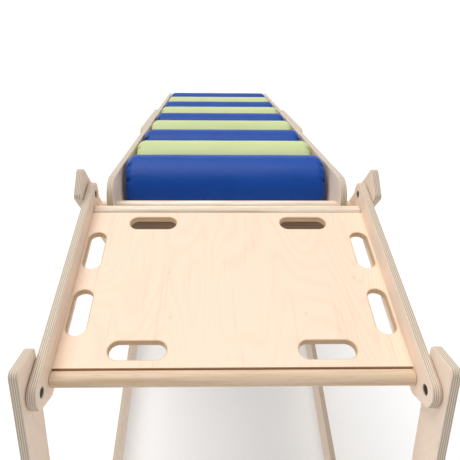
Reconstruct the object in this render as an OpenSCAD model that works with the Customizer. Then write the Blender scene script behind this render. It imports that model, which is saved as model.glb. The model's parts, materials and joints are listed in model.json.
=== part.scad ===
// Roller track that tips on a middle trestle, with a boarding platform at its raised end.
// Plywood sides, round beech cross bars and nine padded rollers. The track can rock until
// either end meets the floor, and every roller turns freely on its own steel rod.

/* [Rollers] */
// Diameter over the padding
roller_d = 218; // [170:1:240]
// Length of the padding
roller_len = 622; // [480:1:760]
// Gap between one roller's padding and the next
roller_gap = 2; // [2:0.5:12]
// Gap between the padding and each side board
roller_side_gap = 6; // [4:1:15]
// Rounding of the padding's end edges
cover_edge_r = 24; // [10:1:34]
// Outside diameter of the tube inside the padding
core_d = 110; // [80:1:124]
// Wall of that tube
core_wall = 5; // [3:0.5:8]
// Thickness of the plug in each end of the tube
plug_t = 20; // [12:1:30]
// Diameter of the steel rod that a roller turns on
rod_d = 12; // [10:1:16]

/* [Track] */
// Slope of the track at rest
track_tilt = 22; // [16:0.5:26]
// Height of the side boards
board_h = 170; // [140:1:200]
// Rounding of the side boards' corners
board_corner_r = 60; // [30:1:68]
// From the last roller's axis to the end of the side boards
end_reach = 225; // [190:1:290]
// From the end of the side boards to the axis of the round spreader
spreader_inset = 43; // [36:1:60]
// How far the spreaders stand out past the side boards
spreader_stub = 22; // [8:1:22]
// Rubber bumper on the lower corners of the side boards
bumper_t = 12; // [6:1:20]

/* [Pivot] */
// Half length of the plates that carry the pivot
cheek_half = 300; // [230:1:360]
// How far these plates stay below the top of the side boards
cheek_lip = 3; // [0:1:20]
// Height of the straight ends of these plates
cheek_end_h = 60; // [40:1:90]
// Radius of the nose around the pivot
cheek_nose_r = 46; // [36:1:60]
// Diameter of the pivot tube
pivot_d = 30; // [24:1:40]
// Wall of the pivot tube
pivot_wall = 4; // [3:0.5:6]
// Gap between the rollers and the pivot tube
pivot_room = 11; // [6:1:30]
// Wall of the bush around the pivot tube
bush_wall = 5; // [3:0.5:6]

/* [Platform] */
// Depth of the deck from front to back
deck_l = 457; // [420:1:620]
// Thickness of every plywood sheet
sheet_t = 18; // [15:0.5:22]
// Room between the track and the platform's side rails
swing_room = 25; // [24:1:50]
// How far the raised end of the track stands above the deck
near_rise = 25; // [0:1:60]
// Gap between the platform's rear bar and the raised end of the track
dock_gap = 17; // [14:1:60]
// Height of the side rails
rail_h = 92; // [80:1:120]
// How far the side rails stand above the deck
rail_rise = 46; // [40:1:60]
// Diameter of the round bars, steps and spreaders
bar_d = 32; // [26:1:36]
// How far the round bars stand above the deck
bar_rise = 4; // [0:1:8]
// Length of a hand slot
slot_l = 119; // [100:1:140]
// Width of a hand slot
slot_w = 42; // [34:1:50]
// From the deck's front or back edge to the middle of a hand slot
slot_edge = 40; // [36:1:50]
// From the middle of the deck to the front and back hand slots
slot_out = 196; // [150:1:210]
// From the side rail to the middle of a side hand slot
side_slot_edge = 28; // [26:1:34]
// From the middle of the deck to the side hand slots
side_slot_out = 92.5; // [80:0.5:100]

/* [Legs and base] */
// Width of a leg
leg_w = 88; // [70:1:100]
// Lean of the legs away from upright
leg_lean = 26; // [15:0.5:28]
// From the leg's bolt to its top end
leg_head = 72; // [46:1:80]
// From the deck's edge to the leg's bolt
bolt_out = 58; // [52:1:80]
// Height of the leg's bolt above the deck
bolt_rise = 16; // [10:1:20]
// Distance between two steps, along the leg
step_pitch = 235; // [200:1:260]
// Height of the base panels, without the tower
base_h = 100; // [80:1:130]
// Half width of the tower where it meets the base
tower_half = 230; // [180:1:300]
// Thickness of the rubber feet
foot_t = 12; // [6:1:20]

/* [Hidden] */
$fn = 64;

// Clearances
running_gap = 0.05;     // round the rods and the pivot tube
side_gap = 0.3;         // between faces that slide past each other
bar_gap = 1;            // between the deck's edge and the round bars
leg_gap = 2;            // between a rail and its leg, filled by a washer
bumper_fit = 0.06;      // between a bumper and the rounded corner it wraps
end_gap = 15;           // from a leg's foot to the end of the base panel
eps = 1;                // how far a cut runs past a face

// Fasteners
bolt_d = 10;            // leg bolts
bolt_head_d = 17;
bolt_head_h = 7;
recess_d = 22;          // recess around the head of a leg bolt
recess_depth = 9;
washer_d = 24;
nut_d = 18;
nut_h = 9;
small_bolt_d = 8;       // base and cheek bolts
small_head_d = 20;
small_head_h = 5;
cross_bolt_l = 60;      // length of the bolts into the crossbars
rod_nut_d = 19;
rod_nut_h = 9;
screw_d = 5;
screw_head_d = 10;
screw_head_h = 3;
screw_l = 50;

// Smaller roundings
plate_r = 12;           // corners of the legs
rail_end_r = 30;        // rail ends, around the leg bolt
bar_chamfer = 2;
spreader_chamfer = 4;
panel_end_r = 40;       // upper corners of the base panels
tower_foot_r = 70;      // hollow where the tower meets the base
tower_top_r = 46;       // around the pivot
arc_steps = 10;

// Platform, base and pivot details
batten_w = 18;          // batten below the deck's rear edge
batten_h = 36;
tower_rise = 35;        // from the pivot tube to the top of the tower
tower_top_half = 52;    // half width of the tower's top
panel_tail = 70;        // from the tower's foot to the rear end of the base panel
cap_d = pivot_d + 14;   // caps on the pivot tube
cap_t = 5;
cap_plug = 20;          // how far a cap reaches into the tube
cheek_bolt_rise = 45;   // from the rods to the bolts of the pivot plates

// Track, measured from the pivot axis: along the track, then square to it
roller_r = roller_d / 2;
roller_count = 9;
pitch = roller_d + roller_gap;
roller_along = [for (i = [1:roller_count]) (i - (roller_count + 1) / 2) * pitch];
half_len = roller_along[roller_count - 1] + end_reach;
pivot_drop = roller_r + pivot_room + pivot_d / 2;
corner_along = half_len - board_corner_r;
corner_low = pivot_drop - board_h / 2 + board_corner_r;
corner_high = pivot_drop + board_h / 2 - board_corner_r;
spreader_along = half_len - spreader_inset;
cheek_top = pivot_drop + board_h / 2 - cheek_lip;
nut_hole_r = rod_nut_d / 2 + 5;

// Planes across the object, from the middle outwards
board_in = roller_len / 2 + roller_side_gap;
board_out = board_in + sheet_t;
cheek_out = board_out + sheet_t;
spreader_end = board_out + spreader_stub;
rail_in = board_out + swing_room;
rail_out = rail_in + sheet_t;
leg_in = rail_out + leg_gap;
leg_out = leg_in + sheet_t;
base_out = leg_in;
base_in = base_out - sheet_t;

// Heights
pivot_z = board_corner_r + bumper_t + corner_along * sin(track_tilt) - corner_low * cos(track_tilt);
near_top = pivot_z + corner_along * sin(track_tilt) + corner_high * cos(track_tilt) + board_corner_r;
deck_top = near_top - near_rise;
bar_z = deck_top + bar_rise - bar_d / 2;
bolt_z = deck_top + bolt_rise;
base_top = foot_t + base_h;
tower_top = pivot_z + pivot_d / 2 + tower_rise;

// Places along the object, from the deck's front edge
front_bar_y = -bar_gap - bar_d / 2;
rear_bar_y = deck_l + bar_gap + bar_d / 2;
pivot_y = rear_bar_y + bar_d / 2 + dock_gap + board_corner_r
    + corner_along * cos(track_tilt) - corner_high * sin(track_tilt);
far_end_y = pivot_y + corner_along * cos(track_tilt) + corner_high * sin(track_tilt) + board_corner_r;
foot_drop = bolt_z - foot_t;
foot_out = bolt_out + foot_drop * tan(leg_lean) + leg_w / 2 / cos(leg_lean);
base_front_y = -foot_out - end_gap;
base_rear_y = pivot_y + tower_half + panel_tail;
cross_w = 28;
cross_h = 70;
cross_front_y = -foot_out + leg_w + 60;
cross_z = foot_t + 15 + cross_h / 2;
y_shift = -(base_front_y + far_end_y) / 2;

function unit(v) = v / norm(v);
function short_turn(a) = a > 180 ? a - 360 : (a < -180 ? a + 360 : a);

// A closed outline with rounded corners. Each corner is [across, up, radius].
function rounded(c) = [
    for (i = [0:len(c) - 1])
        let (p = [c[i][0], c[i][1]], r = c[i][2],
            before = c[(i + len(c) - 1) % len(c)], after = c[(i + 1) % len(c)],
            u = unit([before[0], before[1]] - p), v = unit([after[0], after[1]] - p),
            half = acos(u * v) / 2,
            centre = p + unit(u + v) * r / sin(half),
            first = p + u * r / tan(half) - centre, last = p + v * r / tan(half) - centre,
            start = atan2(first[1], first[0]),
            turn = short_turn(atan2(last[1], last[0]) - start))
        for (k = [0:(r > 0 ? arc_steps : 0)])
            r > 0 ? centre + r * [cos(start + turn * k / arc_steps), sin(start + turn * k / arc_steps)] : p
];

// An arc-shaped band between two radii, centred on one direction
function band(r_in, r_out, middle, spread, steps) = concat(
    [for (k = [0:steps]) r_out * [cos(middle - spread + 2 * spread * k / steps),
        sin(middle - spread + 2 * spread * k / steps)]],
    [for (k = [steps:-1:0]) r_in * [cos(middle - spread + 2 * spread * k / steps),
        sin(middle - spread + 2 * spread * k / steps)]]);

// Everything stands in the object's own frame through this move
module placed() {
    translate([0, y_shift, 0]) children();
}

// The tilted frame of the track, with its origin on the pivot axis
module on_track() {
    placed() translate([0, pivot_y, pivot_z]) rotate([-track_tilt, 0, 0]) children();
}

// A sheet that stands upright along the object, from its inner plane outwards
module sheet(side, inner, t, outline) {
    x = side > 0 ? inner : -inner - t;
    translate([x, 0, 0]) rotate([90, 0, 90]) linear_extrude(t) polygon(outline);
}

// A cylinder across the object, from one plane to another
module across(x0, x1, y, z, r) {
    translate([min(x0, x1), y, z]) rotate([0, 90, 0]) cylinder(h = abs(x1 - x0), r = r);
}

// A round bar across the object with chamfered ends
module round_bar(half, y, z, d, chamfer) {
    translate([-half, y, z]) rotate([0, 90, 0]) union() {
        cylinder(h = chamfer, r1 = d / 2 - chamfer, r2 = d / 2);
        translate([0, 0, chamfer]) cylinder(h = 2 * half - 2 * chamfer, r = d / 2);
        translate([0, 0, 2 * half - chamfer]) cylinder(h = chamfer, r1 = d / 2, r2 = d / 2 - chamfer);
    }
}

// A domed head or nut that stands out from a plane
module dome(side, plane, y, z, d, h) {
    crown = h / 2;
    translate([plane, y, z]) rotate([0, side * 90, 0]) rotate_extrude()
        polygon([[0, 0], [d / 2, 0], [d / 2, h - crown], [d / 2 - crown * 0.3, h - crown * 0.3],
            [d / 2 - crown, h], [0, h]]);
}

// A countersunk screw driven inwards from a plane
module screw(side, plane, y, z) {
    translate([plane, y, z]) rotate([0, -side * 90, 0]) rotate_extrude()
        polygon([[0, 0], [screw_head_d / 2, 0], [screw_d / 2, screw_head_h], [screw_d / 2, screw_l],
            [0, screw_l]]);
}

// Where the screws go: into the bars and the deck through the rails, and into the steps
rail_screws = [[front_bar_y, bar_z], [rear_bar_y, bar_z], [20, deck_top - sheet_t / 2],
    [deck_l - 20, deck_top - sheet_t / 2], [deck_l - batten_w / 2, deck_top - sheet_t - batten_h / 2]];
step_along = [for (i = [1:3]) i * step_pitch];
step_places = [for (d = step_along) [-bolt_out - d * sin(leg_lean), bolt_z - d * cos(leg_lean)]];

module rail_screws_of(side) {
    for (p = rail_screws) screw(side, side * rail_out, p[0], p[1]);
}

module step_screws_of(side) {
    for (p = step_places) screw(side, side * leg_out, p[0], p[1]);
}

module wood_screws() {
    color("silver") placed() for (side = [-1, 1]) {
        rail_screws_of(side);
        step_screws_of(side);
    }
}

// Deck

module slot_cut(x, y, along_x) {
    reach = (slot_l - slot_w) / 2;
    dx = along_x ? reach : 0;
    dy = along_x ? 0 : reach;
    depth = sheet_t + 2 * eps;
    translate([x, y, deck_top - sheet_t - eps]) {
        for (s = [-1, 1]) translate([s * dx, s * dy, 0]) cylinder(h = depth, r = slot_w / 2);
        translate([-dx - (along_x ? 0 : slot_w / 2), -dy - (along_x ? slot_w / 2 : 0), 0])
            cube([2 * dx + (along_x ? 0 : slot_w), 2 * dy + (along_x ? slot_w : 0), depth]);
    }
}

module deck_board() {
    color("#fde7cf") placed() difference() {
        translate([-rail_in, 0, deck_top - sheet_t]) cube([2 * rail_in, deck_l, sheet_t]);
        for (s = [-1, 1]) {
            slot_cut(s * slot_out, slot_edge, true);
            slot_cut(s * slot_out, deck_l - slot_edge, true);
            slot_cut(s * (rail_in - side_slot_edge), deck_l / 2 - side_slot_out, false);
            slot_cut(s * (rail_in - side_slot_edge), deck_l / 2 + side_slot_out, false);
            rail_screws_of(s);
        }
    }
}

module deck_batten() {
    color("#e8cfae") placed() difference() {
        translate([-rail_in, deck_l - batten_w, deck_top - sheet_t - batten_h])
            cube([2 * rail_in, batten_w, batten_h]);
        for (s = [-1, 1]) rail_screws_of(s);
    }
}

module side_rail(side) {
    low = deck_top + rail_rise - rail_h;
    high = deck_top + rail_rise;
    tip = bolt_out + rail_end_r;
    // The end runs round the leg bolt, then slants back to the lower edge
    outline = rounded([[-tip, high, rail_end_r * 0.9], [-tip, bolt_z - rail_end_r * 0.6, 20],
        [-bolt_out + 24, low, 30], [deck_l + bolt_out - 24, low, 30],
        [deck_l + tip, bolt_z - rail_end_r * 0.6, 20], [deck_l + tip, high, rail_end_r * 0.9]]);
    placed() difference() {
        sheet(side, rail_in, sheet_t, outline);
        for (y = [-bolt_out, deck_l + bolt_out]) {
            across(side * (rail_in - eps), side * (rail_out + eps), y, bolt_z, bolt_d / 2);
            across(side * (rail_in - eps), side * (rail_in + recess_depth), y, bolt_z, recess_d / 2);
        }
        rail_screws_of(side);
    }
}

module side_rail_left() {
    color("#e6d0bc") side_rail(-1);
}

module side_rail_right() {
    color("#e6d0bc") side_rail(1);
}

module deck_bar(y) {
    placed() difference() {
        round_bar(rail_in, y, bar_z, bar_d, bar_chamfer);
        for (s = [-1, 1]) rail_screws_of(s);
    }
}

module front_bar() {
    color("#dec6ac") deck_bar(front_bar_y);
}

module rear_bar() {
    color("#f4e2c8") deck_bar(rear_bar_y);
}

// Legs

// The front leg's outline; the rear leg is its mirror image about the deck's middle
function leg_outline() =
    let (d = [-sin(leg_lean), -cos(leg_lean)], n = [-cos(leg_lean), sin(leg_lean)],
        bolt = [-bolt_out, bolt_z], top = bolt - d * leg_head,
        outer = top + n * leg_w / 2, inner = top - n * leg_w / 2)
    rounded([[outer[0], outer[1], plate_r],
        [outer[0] + d[0] * (outer[1] - foot_t) / -d[1], foot_t, 4],
        [inner[0] + d[0] * (inner[1] - foot_t) / -d[1], foot_t, 4],
        [inner[0], inner[1], plate_r]]);

foot_bolt_along = [for (z = [foot_t + 24, foot_t + 76]) (bolt_z - z) / cos(leg_lean)];

// Bolt places of one foot, on the front leg
foot_bolts = [for (d = foot_bolt_along) [-bolt_out - d * sin(leg_lean), bolt_z - d * cos(leg_lean)]];

function at_end(p, front) = front ? p : [deck_l - p[0], p[1]];

module leg(side, front) {
    outline = [for (p = leg_outline()) at_end(p, front)];
    bolt = at_end([-bolt_out, bolt_z], front);
    color("#e2c9b0") placed() difference() {
        sheet(side, leg_in, sheet_t, outline);
        across(side * (leg_in - eps), side * (leg_out + eps), bolt[0], bolt[1], bolt_d / 2);
        for (p = foot_bolts) {
            q = at_end(p, front);
            across(side * (leg_in - eps), side * (leg_out + eps), q[0], q[1], small_bolt_d / 2);
        }
        if (front) step_screws_of(side);
    }
}

module leg_front_left() {
    leg(-1, true);
}

module leg_front_right() {
    leg(1, true);
}

module leg_rear_left() {
    leg(-1, false);
}

module leg_rear_right() {
    leg(1, false);
}

module at_leg_bolts() {
    placed() for (side = [-1, 1], y = [-bolt_out, deck_l + bolt_out]) {
        $side = side;
        $y = y;
        children();
    }
}

module leg_bolts() {
    head = rail_in + recess_depth - bolt_head_h;
    color("dimgray") at_leg_bolts() union() {
        across($side * head, $side * (head + bolt_head_h), $y, bolt_z, bolt_head_d / 2);
        across($side * (head + bolt_head_h), $side * leg_out, $y, bolt_z, bolt_d / 2);
    }
}

module leg_washers() {
    color("silver") at_leg_bolts() difference() {
        across($side * rail_out, $side * leg_in, $y, bolt_z, washer_d / 2);
        across($side * (rail_out - eps), $side * (leg_in + eps), $y, bolt_z, bolt_d / 2);
    }
}

module leg_cap_nuts() {
    color("silver") at_leg_bolts() dome($side, $side * leg_out, $y, bolt_z, nut_d, nut_h);
}

module climbing_steps() {
    color("#e8cfae") placed() for (p = step_places) difference() {
        round_bar(leg_in, p[0], p[1], bar_d, bar_chamfer);
        for (s = [-1, 1]) step_screws_of(s);
    }
}

// Base

module base_panel(side) {
    outline = rounded([[base_front_y, foot_t, 10], [base_front_y, base_top, panel_end_r],
        [pivot_y - tower_half, base_top, tower_foot_r],
        [pivot_y - tower_top_half, tower_top, tower_top_r],
        [pivot_y + tower_top_half, tower_top, tower_top_r],
        [pivot_y + tower_half, base_top, tower_foot_r],
        [base_rear_y, base_top, panel_end_r], [base_rear_y, foot_t, 10]]);
    placed() difference() {
        sheet(side, base_in, sheet_t, outline);
        across(side * (base_in - eps), side * (base_out + eps), pivot_y, pivot_z, pivot_d / 2);
        for (front = [true, false], p = foot_bolts) {
            q = at_end(p, front);
            across(side * (base_in - eps), side * (base_out + eps), q[0], q[1], small_bolt_d / 2);
        }
        for (y = [cross_front_y, pivot_y])
            across(side * (base_in - eps), side * (base_out + eps), y, cross_z, small_bolt_d / 2);
    }
}

module base_panel_left() {
    color("#dcc4a6") base_panel(-1);
}

module base_panel_right() {
    color("#dcc4a6") base_panel(1);
}

module base_crossbars() {
    color("#e8cfae") placed() for (y = [cross_front_y, pivot_y]) difference() {
        translate([-base_in, y - cross_w / 2, cross_z - cross_h / 2])
            cube([2 * base_in, cross_w, cross_h]);
        for (s = [-1, 1])
            across(s * (base_out - cross_bolt_l), s * (base_in + eps), y, cross_z, small_bolt_d / 2);
    }
}

module base_bolts() {
    color("silver") placed() for (s = [-1, 1]) {
        for (front = [true, false], p = foot_bolts) {
            q = at_end(p, front);
            union() {
                across(s * base_in, s * leg_out, q[0], q[1], small_bolt_d / 2);
                dome(s, s * leg_out, q[0], q[1], small_head_d, small_head_h);
            }
        }
        for (y = [cross_front_y, pivot_y]) union() {
            across(s * (base_out - cross_bolt_l), s * base_out, y, cross_z, small_bolt_d / 2);
            dome(s, s * base_out, y, cross_z, small_head_d, small_head_h);
        }
    }
}

module rubber_feet() {
    foot_l = 70;
    color("#202020") placed() for (s = [-1, 1],
        y = [base_front_y + 50, deck_l + foot_out - 60, pivot_y - tower_half, base_rear_y - 50])
        translate([s * (base_in + base_out) / 2 - sheet_t / 2, y - foot_l / 2, 0])
            cube([sheet_t, foot_l, foot_t]);
}

// Pivot

module pivot_tube() {
    color("silver") placed() difference() {
        across(-base_out - cap_t, base_out + cap_t, pivot_y, pivot_z, pivot_d / 2);
        across(-base_out - cap_t - eps, base_out + cap_t + eps, pivot_y, pivot_z,
            pivot_d / 2 - pivot_wall);
    }
}

// Each cap closes the tube's end and its rim bears on the panel
module pivot_caps() {
    color("#303030") placed() for (s = [-1, 1]) difference() {
        union() {
            across(s * base_out, s * (base_out + 2 * cap_t), pivot_y, pivot_z, cap_d / 2);
            across(s * (base_out + cap_t - cap_plug), s * (base_out + cap_t), pivot_y, pivot_z,
                pivot_d / 2 - pivot_wall);
        }
        difference() {
            across(s * (base_out - eps - cap_plug), s * (base_out + cap_t), pivot_y, pivot_z, pivot_d / 2);
            across(s * (base_out - 2 * eps - cap_plug), s * (base_out + cap_t + eps), pivot_y, pivot_z,
                pivot_d / 2 - pivot_wall);
        }
    }
}

module pivot_spacers() {
    color("#303030") placed() for (s = [-1, 1]) difference() {
        across(s * (cheek_out + side_gap), s * base_in, pivot_y, pivot_z, pivot_d / 2 + bush_wall);
        across(s * cheek_out, s * (base_in + eps), pivot_y, pivot_z, pivot_d / 2);
    }
}

// Track

module track_side(side) {
    low = pivot_drop - board_h / 2;
    high = pivot_drop + board_h / 2;
    outline = rounded([[-half_len, low, board_corner_r], [half_len, low, board_corner_r],
        [half_len, high, board_corner_r], [-half_len, high, board_corner_r]]);
    on_track() difference() {
        sheet(side, board_in, sheet_t, outline);
        for (y = roller_along)
            across(side * (board_in - eps), side * (board_out + eps), y, pivot_drop, rod_d / 2);
        for (y = [-spreader_along, spreader_along])
            across(side * (board_in - eps), side * (board_out + eps), y, pivot_drop, bar_d / 2);
        cheek_bolt_shanks(side);
    }
}

module track_side_left() {
    color("#e6d6bc") track_side(-1);
}

module track_side_right() {
    color("#e6d6bc") track_side(1);
}

// Four bolts hold each cheek to its side board: a wide pair above the rods and a close pair below
cheek_bolt_places = [for (way = [-1, 1], high = [true, false])
    [way * pitch * (high ? 1.25 : 0.5), pivot_drop + (high ? cheek_bolt_rise : -cheek_bolt_rise)]];

module cheek_bolt_shanks(side) {
    for (p = cheek_bolt_places)
        across(side * board_in, side * (cheek_out + eps), p[0], p[1], small_bolt_d / 2);
}

module pivot_cheek(side) {
    nose = cheek_nose_r;
    outline = rounded([[-cheek_half, cheek_top, 25], [-cheek_half, cheek_top - cheek_end_h, 60],
        [-nose, -nose, nose * 0.8], [nose, -nose, nose * 0.8],
        [cheek_half, cheek_top - cheek_end_h, 60], [cheek_half, cheek_top, 25]]);
    on_track() difference() {
        sheet(side, board_out, sheet_t, outline);
        across(side * (board_out - eps), side * (cheek_out + eps), 0, 0, pivot_d / 2 + bush_wall);
        for (y = [-pitch, 0, pitch])
            across(side * (board_out - eps), side * (cheek_out + eps), y, pivot_drop, nut_hole_r);
        cheek_bolt_shanks(side);
    }
}

module pivot_cheek_left() {
    color("#e2cfb2") pivot_cheek(-1);
}

module pivot_cheek_right() {
    color("#e2cfb2") pivot_cheek(1);
}

module cheek_bolts() {
    color("silver") on_track() for (s = [-1, 1], p = cheek_bolt_places) union() {
        across(s * board_in, s * cheek_out, p[0], p[1], small_bolt_d / 2);
        dome(s, s * cheek_out, p[0], p[1], small_head_d, small_head_h);
    }
}

module pivot_bushes() {
    color("ivory") on_track() for (s = [-1, 1]) difference() {
        across(s * board_out, s * cheek_out, 0, 0, pivot_d / 2 + bush_wall);
        across(s * (board_out - eps), s * (cheek_out + eps), 0, 0, pivot_d / 2 + running_gap);
    }
}

module spreader_bars() {
    color("#eed8b4") on_track() for (y = [-spreader_along, spreader_along])
        round_bar(spreader_end, y, pivot_drop, bar_d, spreader_chamfer);
}

module roller_rods() {
    color("silver") on_track() for (y = roller_along)
        across(-board_out, board_out, y, pivot_drop, rod_d / 2);
}

module rod_nuts() {
    color("silver") on_track() for (s = [-1, 1], y = roller_along)
        dome(s, s * board_out, y, pivot_drop, rod_nut_d, rod_nut_h);
}

// A bumper wraps each lower corner from where its arc starts; its middle meets the floor
module end_bumpers() {
    color("#202020") on_track() for (side = [-1, 1], way = [-1, 1]) {
        pad = band(board_corner_r + bumper_fit, board_corner_r + bumper_t, -90 + way * track_tilt,
            track_tilt, 12);
        sheet(side, board_in, sheet_t, [for (p = pad) p + [way * corner_along, corner_low]]);
    }
}

// Rollers

module roller_part(i) {
    on_track() translate([0, roller_along[i - 1], pivot_drop]) rotate([0, 90, 0]) children();
}

module roller_cover(i) {
    half = roller_len / 2;
    outline = rounded([[core_d / 2, -half, 4], [roller_r, -half, cover_edge_r],
        [roller_r, half, cover_edge_r], [core_d / 2, half, 4]]);
    color(i % 2 == 1 ? "#2d56a8" : "#c6d494") roller_part(i) rotate_extrude() polygon(outline);
}

module roller_core(i) {
    half = roller_len / 2 - 6;
    color("#b9b9b4") roller_part(i) difference() {
        translate([0, 0, -half]) cylinder(h = 2 * half, r = core_d / 2);
        translate([0, 0, -half - eps]) cylinder(h = 2 * half + 2 * eps, r = core_d / 2 - core_wall);
    }
}

module roller_plugs(i) {
    half = roller_len / 2 - 6;
    color("ivory") roller_part(i) for (z = [-half, half - plug_t]) difference() {
        translate([0, 0, z]) cylinder(h = plug_t, r = core_d / 2 - core_wall);
        translate([0, 0, z - eps]) cylinder(h = plug_t + 2 * eps, r = rod_d / 2 + running_gap);
    }
}

deck_board();
deck_batten();
side_rail_left();
side_rail_right();
front_bar();
rear_bar();
leg_front_left();
leg_front_right();
leg_rear_left();
leg_rear_right();
leg_bolts();
leg_washers();
leg_cap_nuts();
climbing_steps();
wood_screws();
base_panel_left();
base_panel_right();
base_crossbars();
base_bolts();
rubber_feet();
pivot_tube();
pivot_caps();
pivot_spacers();
track_side_left();
track_side_right();
pivot_cheek_left();
pivot_cheek_right();
cheek_bolts();
pivot_bushes();
spreader_bars();
roller_rods();
rod_nuts();
end_bumpers();
roller_cover(1);  // roller_1_cover
roller_cover(2);  // roller_2_cover
roller_cover(3);  // roller_3_cover
roller_cover(4);  // roller_4_cover
roller_cover(5);  // roller_5_cover
roller_cover(6);  // roller_6_cover
roller_cover(7);  // roller_7_cover
roller_cover(8);  // roller_8_cover
roller_cover(9);  // roller_9_cover
roller_core(1);  // roller_1_core
roller_core(2);  // roller_2_core
roller_core(3);  // roller_3_core
roller_core(4);  // roller_4_core
roller_core(5);  // roller_5_core
roller_core(6);  // roller_6_core
roller_core(7);  // roller_7_core
roller_core(8);  // roller_8_core
roller_core(9);  // roller_9_core
roller_plugs(1);  // roller_1_plugs
roller_plugs(2);  // roller_2_plugs
roller_plugs(3);  // roller_3_plugs
roller_plugs(4);  // roller_4_plugs
roller_plugs(5);  // roller_5_plugs
roller_plugs(6);  // roller_6_plugs
roller_plugs(7);  // roller_7_plugs
roller_plugs(8);  // roller_8_plugs
roller_plugs(9);  // roller_9_plugs
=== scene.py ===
import json
import math

import bmesh
import bpy
from bpy.props import FloatProperty, FloatVectorProperty, IntProperty, PointerProperty
from mathutils import Matrix, Vector, noise


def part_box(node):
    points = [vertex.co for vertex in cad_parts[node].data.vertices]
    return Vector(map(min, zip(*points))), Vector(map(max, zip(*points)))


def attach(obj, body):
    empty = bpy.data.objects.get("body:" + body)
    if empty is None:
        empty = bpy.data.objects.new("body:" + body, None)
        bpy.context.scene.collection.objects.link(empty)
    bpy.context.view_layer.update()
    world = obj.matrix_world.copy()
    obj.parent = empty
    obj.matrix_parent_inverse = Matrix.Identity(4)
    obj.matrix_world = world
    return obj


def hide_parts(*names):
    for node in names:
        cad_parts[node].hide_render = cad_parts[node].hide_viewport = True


bl_info = {
    "name": "Roller seesaw",
    "version": (1, 0, 0),
    "blender": (4, 5, 0),
    "location": "View3D > Sidebar > Seesaw",
    "description": "Builds the plywood, bars, padded rollers and fittings of a roller seesaw",
    "category": "Object",
}

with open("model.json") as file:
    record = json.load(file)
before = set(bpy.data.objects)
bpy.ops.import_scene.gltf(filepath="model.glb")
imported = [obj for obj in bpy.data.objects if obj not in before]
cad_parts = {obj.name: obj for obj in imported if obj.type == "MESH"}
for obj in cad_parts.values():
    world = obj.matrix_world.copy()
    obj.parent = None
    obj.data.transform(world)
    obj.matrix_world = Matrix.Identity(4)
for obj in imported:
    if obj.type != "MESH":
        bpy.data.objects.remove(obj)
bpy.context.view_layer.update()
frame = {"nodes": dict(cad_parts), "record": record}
# The record's material slot of each CAD node
SLOT_OF = {part["node"]: part["material_slot"] for part in frame["record"]["subparts"]}

MM = 0.001
FULL_TURN = 2 * math.pi
CORNER = math.radians(60)       # a sharper fold than this is a corner of the shape
SHEET_FOLD = math.radians(40)   # and one sharper than this is an edge of a sheet
FLAT = math.radians(0.8)        # faces that turn less than this become one
MERGE = 0.02 * MM               # corners nearer than this become one

# Plywood sheets and bars
SHEET = 18 * MM                 # thickness of the plywood
PLIES = 9                       # a sheet has 13 plies of 1.4 mm; 9 of 2 mm are drawn, to show
FACE_PLY = 0.12                 # how much of the outer ply counts as the sheet's face
TRACK_TURN = math.radians(-22)  # turn of the track's length away from the object's length
LEG_TURN = math.radians(26)     # lean of the legs away from upright
HOLE_ROOM = 13 * MM             # edges this near a bolt's axis stay sharp
HOLE_RIM = 3 * MM               # and so does a rim this wide round a larger hole
SLOT_LENGTH = 119 * MM          # hand slots, between their straight walls
SLOT_WIDTH = 42 * MM
SLOT_STEPS = 48                 # corners of a hand slot's outline
BAR_STEPS = 72                  # corners round a bar

# Padded rollers
ROLLERS = range(1, 10)
COVER_EDGE = 24 * MM            # rounding of a cover's ends
LENGTH_CUTS = 58                # cuts along a cover
END_CUTS = 3                    # cuts across a cover's end
BORE_ROOM = 0.2 * MM            # gap between a cover and its core
FILL_STEPS = 20                 # steps of the filling's simulation
SEAM_BACK = 7 * MM              # the end seam before filling, from the ends and from the outside
SEAM_HOLD = 5 * MM              # the filling is held this close to the end seam
CORNER_MIDDLE = 0.29            # inset of a rounded corner's middle, as a share of its rounding
SEAM_WAVES = 34                 # small folds round an end seam
GROOVE_WIDTH = 3.2 * MM         # the groove of an end seam
GROOVE_DEPTH = 2.0 * MM
GROOVE_PULL = 1.2 * MM          # how far the thread pulls it towards the roller's middle
PUCKER_REACH = 20 * MM          # the folds fade out this far from the seam
SOFTNESS = 0.5 * MM             # broad unevenness of the padding
LONG_SEAM_WIDTH = 2.6 * MM      # the seam along the roller
LONG_SEAM_DEPTH = 1.3 * MM
PINCHES = [math.radians(a) for a in (8, 47, 101, 139, 203, 236, 283, 322)]
PINCH_WIDTH = math.radians(3.8)
PINCH_DEPTH = 7 * MM
PINCH_REACH = 11 * MM
PINCH_SHADE = 10 * MM           # how far from the seam painted shade darkens a pinch
STITCHES = 96                   # real stitches are 4 mm apart; these are drawn 7 mm apart, to show
STITCH_BACK = 6 * MM            # the stitches' distance from the groove, and their width
STITCH_WIDTH = 1.8 * MM

# Studio
CAMERA_PLACE = (-0.0441, -1.46669, 1.78535)
CAMERA_TURNS = (44.395, 1.56, -1.0775)  # down, to the right and rolled, in degrees
LENS_MM, SENSOR_MM = 36.72, 36.0
LENS_SHIFT = (0.0203, -0.0011)
FLOOR_HALF = 30.0               # half of the floor's width
LIGHT_AIM = (0.22, -0.42, -1.0)  # the way it shines
LIGHT_SPREAD = math.radians(55)
BAND_TOP = (0.30, 0.50)         # the pale band fades from 17 to 30 degrees above the horizon

# Sockets of a Mix node that mixes colours
SHARE, FIRST, SECOND, MIXED = 0, 6, 7, 2

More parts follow.
